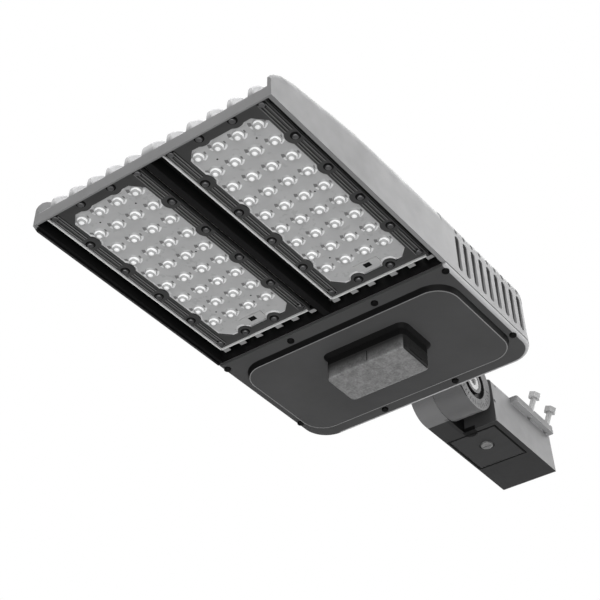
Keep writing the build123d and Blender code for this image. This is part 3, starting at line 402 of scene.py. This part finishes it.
LOOKS = [
    (housing_paint, ["housing"]),
    (knuckle_paint, ["head_knuckle"]),
    (arm_paint, ["arm_body", "tenon_clamp"]),
    (cover_paint, ["driver_cover"]),
    (hatch_paint, ["arm_cover"]),
    (bezel_plastic, ["module_bezel_left", "module_bezel_right"]),
    (plate_optic, ["lens_plate_left", "lens_plate_right"]),
    (board_mask, ["led_board_left", "led_board_right", "sensor_board"]),
    (phosphor, ["led_chips_left", "led_chips_right"]),
    (rubber, ["module_gasket_left", "module_gasket_right"]),
    (rubber, ["arm_cover_gasket", "neck_gasket", "wire_bushing"]),
    (pale_rubber, ["cover_gasket"]),
    (dull_steel, ["module_screws_left", "module_screws_right"]),
    (bright_steel, ["sensor_screws", "driver_screws", "neck_bolts", "pivot_nut", "pivot_washer"]),
    (bolt_zinc, ["pivot_bolt", "tenon_bolts"]),
    (hatch_zinc, ["arm_cover_screw"]),
    (screw_shade_black, ["cover_screws"]),
    (connector_plastic, ["module_connector_left", "module_connector_right", "surge_protector"]),
    (sensor_shell, ["sensor_base"]),
    (sensor_lens, ["sensor_lens"]),
    (driver_case, ["led_driver"]),
    (terminal_plastic, ["terminal_block"]),
]
for look, names in LOOKS:
    for node in (NODES[name] for name in names):
        if not node.material_slots:
            node.data.materials.append(look)
        for material_slot in node.material_slots:
            material_slot.link = "OBJECT"
            material_slot.material = look


def arc(x, y, radius, start, end, steps=8):
    """Points (x, y) along an arc between two angles in radians, both ends included."""
    angles = [start + (end - start) * i / steps for i in range(steps + 1)]
    return [(x + radius * math.cos(a), y + radius * math.sin(a)) for a in angles]


def circle(x, y, radius, sides):
    """Points (x, y) round a circle."""
    return arc(x, y, radius, 0, 2 * math.pi, sides)[:-1]


class Build:
    """Collects the faces of one piece, each with one of the piece's looks."""

    def __init__(self, name, looks, slot, body="head"):
        self.mesh = bmesh.new()
        self.name = name
        self.looks = looks
        self.slot = slot
        self.body = body

    def face(self, corners, look=0, smooth=False):
        made = self.mesh.faces.new(corners)
        made.material_index = look
        made.smooth = smooth

    def row(self, points):
        return [self.mesh.verts.new(mm(*p)) for p in points]

    def grid(self, rows, looks, closed=True, smooth=True):
        """Quads between rows of points; looks gives the look of each band."""
        verts = [self.row(points) for points in rows]
        for low, high, look in zip(verts, verts[1:], looks):
            count = len(low) if closed else len(low) - 1
            for i in range(count):
                j = (i + 1) % len(low)
                self.face((low[i], low[j], high[j], high[i]), look, smooth)
        return verts

    def rim(self, outline, face, profile, smooth=True):
        """A closed rim along an outline(inset) of a face, with a profile of insets and drops."""
        rows = [[(x, y, face - drop) for x, y in outline(inset)] for inset, drop in profile]
        self.grid(rows + rows[:1], [0] * len(rows), smooth=smooth)
        bmesh.ops.remove_doubles(self.mesh, verts=self.mesh.verts, dist=1e-6)

    def prism(self, outline, z, look=0):
        """A closed prism over an outline of (x, y) points between two heights."""
        rows = [[(x, y, height) for x, y in outline] for height in z]
        low, high = self.grid(rows, [look], smooth=False)
        self.face(low[::-1], look)
        self.face(high, look)

    def box(self, x, y, z, look=0):
        self.prism([(x[0], y[0]), (x[1], y[0]), (x[1], y[1]), (x[0], y[1])], z, look)

    def finish(self):
        bmesh.ops.recalc_face_normals(self.mesh, faces=self.mesh.faces)
        data = bpy.data.meshes.new(self.name)
        self.mesh.to_mesh(data)
        self.mesh.free()
        for look in self.looks:
            data.materials.append(look)
        piece = bpy.data.objects.new(self.name, data)
        bpy.context.scene.collection.objects.link(piece)
        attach(piece, self.body)


# Light modules
MODULE_X = 83.5
MODULE_HALF = 68.5
MODULE_Y = (2.8, 309.0)
MODULE_LENGTH = MODULE_Y[1] - MODULE_Y[0]
PLATE_FACE = 1.6
PLATE_HALF = 53.5
PLATE_Y = (19.5, 298.0)
PLATE_CUT = 13.0
CUT_SHARE = 0.6  # how much of an inset a cut corner loses, so that its edge stays parallel
BEZEL_FACE = -1.2
SCREW_X = 60.34
SCREW_Y = [MODULE_Y[0] + share * MODULE_LENGTH for share in (0.029, 0.212, 0.4, 0.591, 0.78, 0.963)]
END_SCREW_X = 22.0
NOTCH_R = 12.0
TAB_R = 9.0
LENS_PITCH = (26.46, 28.43)
LENS_SHIFT = -0.5  # of the middle of the lens columns from the module's middle
FIRST_LENS_Y = 32.1
LENS_X = [LENS_SHIFT + (column - 1.5) * LENS_PITCH[0] for column in range(4)]
LENS_Y = [FIRST_LENS_Y + row * LENS_PITCH[1] for row in range(9)]
DOTS = [(24.5, 48.8), (24.5, 249.5), (-28.0, 48.8), (-28.0, 249.5), (24.5, 150.0)]
DOT_R = 1.1
# Painted shade round the module screws: radius and drop of the dark rings
SHADE_RING_R = 5.8
SHADE_RING_DROP = 0.08
RIBS = [(55.6, 1.0), (59.0, 0.6), (63.4, 0.9)]  # offset from the module's middle, and drop
RIB_X = (-0.4, 0.4)
RIB_SHADOW_X = (0.5, 1.3)
RIB_END = 8
RIB_BREAK = 10  # half the gap that a rib leaves at a screw
RIDGE_DROP = 2.2
RIDGES = [  # x from the module's middle, and y: the left ridge and the rear one
    ((0.4 - MODULE_HALF, 2.3 - MODULE_HALF), (MODULE_Y[0] + 4, MODULE_Y[1] - 0.5)),
    ((0.4 - MODULE_HALF, MODULE_HALF - 4), (MODULE_Y[1] - 2.2, MODULE_Y[1] - 0.3)),
]

SUNK = 0.2  # how far a piece reaches into the solid that carries it
FILM = 0.06  # drop of pieces that only darken a face
ON_PLATE = (PLATE_FACE + SUNK, PLATE_FACE - FILM)

# One lens, which leans to one side: radius, drop, the centre's shift in x and y, and the look of
# the band that follows: 0 white as a painted highlight, 1 grey as painted shade, 2 the plate's tone
DOME = [
    (6.6, 0.0, 0.0, 0.3, 2),
    (6.2, 2.0, -0.1, 0.9, 0),
    (5.9, 2.6, -0.6, 1.4, 0),
    (5.4, 3.1, -1.5, 1.9, 1),
    (5.0, 3.3, -1.6, 1.9, 1),
    (3.6, 4.1, -1.6, 1.9, 1),
    (3.1, 4.3, -1.5, 1.8, 0),
    (2.7, 4.9, -1.5, 1.8, 0),
    (2.0, 5.4, -1.5, 1.8, 0),
    (1.0, 5.7, -1.5, 1.8, 0),
    (0.15, 5.75, -1.5, 1.8, 0),
]
DOME_SIDES = 28

# Light wedges, painted highlights, and dark slits, painted shade, beside a lens: radii, angles in
# degrees, and drops at both radii
WINGS = [((7.9, 10.3), (34, 84), (1.3, 0.5)), ((8.2, 11.0), (158, 181), (1.2, 0.4))]
SHADE_SLITS = [((7.0, 9.0), (-4, 24), (FILM, FILM)), ((7.4, 11.2), (184, 215), (FILM, FILM))]

# Profiles of insets and drops
PLATE_RIM = [(0.0, -0.4), (0.0, 0.9), (1.0, 1.1), (2.6, 0.05), (2.6, -0.4)]
PANEL_RIM = [(0.1, -0.4), (0.1, 0.1), (1.2, 0.1), (1.2, -0.4)]


def dome(build, x, y):
    """One lens, whose white and grey bands are painted highlights and painted shade."""
    rows = []
    for radius, drop, lean_x, lean_y, _ in DOME:
        points = circle(x + lean_x, y + lean_y, radius, DOME_SIDES)
        rows.append([(px, py, PLATE_FACE - drop) for px, py in points])
    verts = build.grid(rows, [row[-1] for row in DOME[:-1]])
    build.face(verts[-1], smooth=True)


def sector(build, x, y, radii, degrees, drops):
    """A thin curved wedge beside a lens."""
    start, end = (math.radians(degree) for degree in degrees)
    inner, outer = radii
    profile = ((inner, -SUNK), (inner, drops[0]), (outer, drops[1]), (outer, -SUNK))
    rows = [
        [(px, py, PLATE_FACE - drop) for px, py in arc(x, y, radius, start, end)]
        for radius, drop in profile
    ]
    verts = build.grid(rows, [0] * 3, closed=False, smooth=False)
    for side in (0, -1):
        build.face([row[side] for row in verts])
    first, last = verts[0], verts[-1]
    for i in range(len(first) - 1):
        build.face((first[i], first[i + 1], last[i + 1], last[i]))


def plate_outline(x0, inset):
    """A lens plate's outline with cut corners and round notches, moved inwards by an inset."""
    half = PLATE_HALF - inset
    y0, y1 = PLATE_Y[0] + inset, PLATE_Y[1] - inset
    cut = PLATE_CUT - inset * CUT_SHARE
    notch, tab = NOTCH_R + inset, TAB_R + inset

    def side(sign, ys):
        """Notches round the screws of one long side."""
        reach = math.acos((SCREW_X - half) / notch)
        start, end = (math.pi + reach, math.pi - reach) if sign > 0 else (reach, -reach)
        return [p for y in ys for p in arc(x0 + sign * SCREW_X, y, notch, start, end)]

    def end(y, screw_y, radius, sign):
        """Notches round the two screws of the front end, or of the rear end if sign is -1."""
        reach = math.acos(min(1.0, abs(y - screw_y) / radius))
        middle = sign * math.pi / 2
        start, stop = middle + sign * reach, middle - sign * reach
        centres = (x0 - sign * END_SCREW_X, x0 + sign * END_SCREW_X)
        return [p for x in centres for p in arc(x, screw_y, radius, start, stop)]

    return [
        (x0 - half + cut, y0),
        *end(y0, SCREW_Y[0], notch, 1),
        (x0 + half - cut, y0),
        (x0 + half, y0 + cut),
        *side(1, SCREW_Y[1:-1]),
        (x0 + half, y1 - cut),
        (x0 + half - cut, y1),
        *end(y1, SCREW_Y[-1], tab, -1),
        (x0 - half + cut, y1),
        (x0 - half, y1 - cut),
        *side(-1, reversed(SCREW_Y[1:-1])),
        (x0 - half, y0 + cut),
    ]


def lens_details(side, x0):
    """Lenses and the wedges beside them with painted highlights, slits of painted shade beside
    them, and small marks on the plate.
    """
    domes = Build("lens_domes_" + side, [dome_highlight_optic, groove_shade_optic, plate_optic], "lens")
    wings = Build("lens_wings_" + side, [wing_highlight_optic], "lens")
    slits = Build("lens_slits_" + side, [slit_shade, dark_mark_and_shade], "lens")
    for x, y in [(x0 + dx, y) for dx in LENS_X for y in LENS_Y]:
        dome(domes, x, y)
        for build, wedges in ((wings, WINGS), (slits, SHADE_SLITS)):
            for radii, degrees, drops in wedges:
                sector(build, x, y, radii, degrees, drops)
    for dx, y in DOTS:
        slits.prism(circle(x0 + dx, y, DOT_R, 12), ON_PLATE, 1)
    for build in (domes, wings, slits):
        build.finish()


def plate_edge(side, x0):
    """The plate's slightly raised edge, lighter as a painted highlight."""
    edge = Build("lens_plate_edge_" + side, [plate_edge_highlight], "lens")
    edge.rim(lambda inset: plate_outline(x0, inset), PLATE_FACE, PLATE_RIM)
    edge.finish()


def bezel_ribs(side, x0):
    """Thin ribs along the bezel, each with a dark line of painted shadow beside it, broken at the
    screws.
    """
    ribs = Build("bezel_ribs_" + side, [rib_plastic, dark_mark_and_shade], "bezel")
    stops = [MODULE_Y[0] + RIB_END]
    for screw_y in SCREW_Y[1:-1]:
        stops += [screw_y - RIB_BREAK, screw_y + RIB_BREAK]
    stops.append(MODULE_Y[1] - RIB_END)
    for x, drop in [(x0 + sign * offset, drop) for offset, drop in RIBS for sign in (-1, 1)]:
        for y in zip(stops[::2], stops[1::2]):
            ribs.box([x + dx for dx in RIB_X], y, (BEZEL_FACE - drop, BEZEL_FACE + SUNK))
            ribs.box([x + dx for dx in RIB_SHADOW_X], y, (BEZEL_FACE - FILM, BEZEL_FACE + SUNK), 1)
    ribs.finish()


def bezel_ridges(side, x0):
    """Ridges on the bezel's left and rear edges, bright as a painted highlight."""
    ridges = Build("bezel_ridges_" + side, [ridge_highlight], "bezel")
    for x, y in RIDGES:
        ridges.box([x0 + dx for dx in x], y, (BEZEL_FACE - RIDGE_DROP, BEZEL_FACE + SUNK))
    ridges.finish()


def screw_shade_rings(side, x0):
    """Painted shade: dark rings round the module screws."""
    shade_rings = Build("screw_shade_rings_" + side, [dark_mark_and_shade], "bezel")
    places = [(sign * SCREW_X, y) for sign in (-1, 1) for y in SCREW_Y]
    places += [(sign * END_SCREW_X, y) for sign in (-1, 1) for y in (SCREW_Y[0], SCREW_Y[-1])]
    for dx, y in places:
        shade_rings.prism(circle(x0 + dx, y, SHADE_RING_R, 20), (BEZEL_FACE + SUNK, BEZEL_FACE - SHADE_RING_DROP))
    shade_rings.finish()


for side_name, module_x in (("left", -MODULE_X), ("right", MODULE_X)):
    lens_details(side_name, module_x)
    plate_edge(side_name, module_x)
    bezel_ribs(side_name, module_x)
    bezel_ridges(side_name, module_x)
    screw_shade_rings(side_name, module_x)

# Pale pads on the ribs of the air gap, a painted highlight on their lit ends; a share is a rib's
# place between the middle and the side
PAD_SHARES = (0.103, 0.263, 0.409, 0.596, 0.746, 0.898)
PAD_HALF = 4.2
PAD_Y = (312.6, 317.7)
PAD_Z = (-0.25, 0.2)
pads = Build("gap_rib_pads", [pad_highlight], "grey_paint")
for pad_x in [sign * HEAD_HALF * share for share in PAD_SHARES for sign in (-1, 1)]:
    pads.box((pad_x - PAD_HALF, pad_x + PAD_HALF), PAD_Y, PAD_Z)
pads.finish()

# Painted shade filling the openings of the connectors' windows
WINDOW_HALF = 4.5
WINDOW_Y = (280.5, 287.5)
WINDOW_Z = (0.0, PLATE_FACE + SUNK)
windows = Build("connector_windows", [dark_mark_and_shade], "connector")
for module_x in (-MODULE_X, MODULE_X):
    windows.box((module_x - WINDOW_HALF, module_x + WINDOW_HALF), WINDOW_Y, WINDOW_Z)
windows.finish()

# Painted shade: a dark film in the gap round the arm's wiring cover
HATCH_X = (-37.0, 32.0)
HATCH_Y = (649.0, 729.0)
GAP_Z = (-6.12, -5.9)
GAP = 2.2
gap_x = (HATCH_X[0] - GAP, HATCH_X[1] + GAP)
gap = Build("arm_cover_gap", [dark_mark_and_shade], "seal", "arm")
gap.box((gap_x[0], HATCH_X[0]), HATCH_Y, GAP_Z)
gap.box((HATCH_X[1], gap_x[1]), HATCH_Y, GAP_Z)
gap.box(gap_x, (HATCH_Y[1], HATCH_Y[1] + GAP), GAP_Z)
gap.box(gap_x, (HATCH_Y[0] - GAP, HATCH_Y[0]), GAP_Z)
gap.finish()

# Painted highlight along the edge of the cover's raised panel
PANEL_X = (-148.5, 149.5)
PANEL_Y = (341.0, 503.0)
PANEL_CORNER = 30.0
PANEL_FACE = -23.2


def panel_outline(inset):
    """The raised panel's outline, moved inwards by an inset."""
    x0, x1 = PANEL_X[0] + PANEL_CORNER, PANEL_X[1] - PANEL_CORNER
    y0, y1 = PANEL_Y[0] + PANEL_CORNER, PANEL_Y[1] - PANEL_CORNER
    quarter = math.pi / 2
    points = []
    for turns, x, y in ((-1, x1, y0), (0, x1, y1), (1, x0, y1), (2, x0, y0)):
        start = turns * quarter
        points += arc(x, y, PANEL_CORNER - inset, start, start + quarter, 10)
    return points


panel_edge = Build("panel_edge", [panel_edge_highlight], "cover_paint")
panel_edge.rim(panel_outline, PANEL_FACE, PANEL_RIM, smooth=False)
panel_edge.finish()

# The sensor's seam, a dark joint, and the slit on its right side, dark as painted shade
SENSOR_SEAM = ((18.6, 19.4), (372.8, 377.0), (-55.0, -41.0))
SENSOR_SLIT = ((70.2, 71.2), (386.0, 411.0), (-55.4, -53.6))
seams = Build("sensor_seams", [dark_mark_and_shade], "sensor_shell")
seams.box(*SENSOR_SEAM)
seams.box(*SENSOR_SLIT)
seams.finish()

# Studio: a white backdrop for the camera alone, and a world of soft lobes of light. Each lobe has
# a direction, the cosines from it where its light starts and where it is full, its level, and
# whether it fades below the horizon.
LOBES = [
    ((0, 0, -1), 0.80, 0.97, 3.2, False),
    ((0, -0.04, 1), 0.45, 0.90, 3.6, False),
    ((0.60, -0.80, -0.36), 0.72, 0.95, 3.0, False),
    ((1.0, -0.15, 0.10), 0.20, 0.95, 0.18, True),
    ((-0.05, -1.0, -0.05), 0.20, 0.95, 0.05, True),
    ((0.1, 1.0, 0.05), 0.15, 0.85, 3.0, True),
]
SIDE_FADE = (-0.42, -0.02)  # the height of a direction where those lobes are gone, and where full

world = bpy.data.worlds.new("studio")
bpy.context.scene.world = world
world.use_nodes = True
studio = Nodes(world.node_tree)
studio.tree.nodes.clear()
direction = studio.node("ShaderNodeTexCoord").outputs["Generated"]
height = studio.node("ShaderNodeSeparateXYZ", {"Vector": direction}).outputs["Z"]
fade = studio.span(height, *SIDE_FADE, shape="SMOOTHSTEP")
level = 0.0
for aim, start_cosine, full_cosine, power, fades in LOBES:
    cosine = studio.node(
        "ShaderNodeVectorMath", {0: direction, 1: Vector(aim).normalized()}, operation="DOT_PRODUCT"
    ).outputs["Value"]
    share = studio.span(cosine, start_cosine, full_cosine, 0.0, power, "SMOOTHSTEP")
    if fades:
        share = studio.math("MULTIPLY", share, fade)
    level = studio.math("ADD", level, share)
lobes = studio.node("ShaderNodeBackground", {"Strength": level})
white = studio.node("ShaderNodeBackground", {"Color": (1, 1, 1, 1)})
seen = studio.node("ShaderNodeLightPath").outputs["Is Camera Ray"]
mix = studio.node("ShaderNodeMixShader", {
    "Fac": seen, 1: lobes.outputs["Background"], 2: white.outputs["Background"]})
studio.node("ShaderNodeOutputWorld", {"Surface": mix.outputs["Shader"]})

# One softbox at the right rear; its place is in metres of the part's frame
softbox_data = bpy.data.lights.new("right_rear", "AREA")
softbox_data.shape = "SQUARE"
softbox_data.size = 0.5
softbox_data.energy = 1.5
softbox = bpy.data.objects.new("right_rear", softbox_data)
bpy.context.scene.collection.objects.link(softbox)
softbox.location = (1.3, 0.1, 0.12)
softbox.rotation_mode = "QUATERNION"
softbox.rotation_quaternion = (mm(40, 600, 30) - softbox.location).to_track_quat("-Z", "Y")

# Pale floor, well below the raised light, in metres
FLOOR_HALF = 6.0
FLOOR_Z = -3.2
FLOOR_SIGNS = ((-1, -1), (1, -1), (1, 1), (-1, 1))
floor_corners = [(x * FLOOR_HALF, y * FLOOR_HALF, FLOOR_Z) for x, y in FLOOR_SIGNS]
floor_data = bpy.data.meshes.new("floor")
floor_data.from_pydata(floor_corners, [], [(0, 1, 2, 3)])
floor = bpy.data.objects.new("floor", floor_data)
bpy.context.scene.collection.objects.link(floor)
floor_look = Shader("floor_look")
floor_look.colour(floor_look.ramp(floor_look.noise(2.0), grey(0.80), grey(0.84)))
floor_look.set("Roughness", 0.8)
floor_data.materials.append(floor_look.material)
floor.visible_diffuse = False
floor.visible_glossy = False
floor.visible_transmission = False
floor.visible_shadow = False
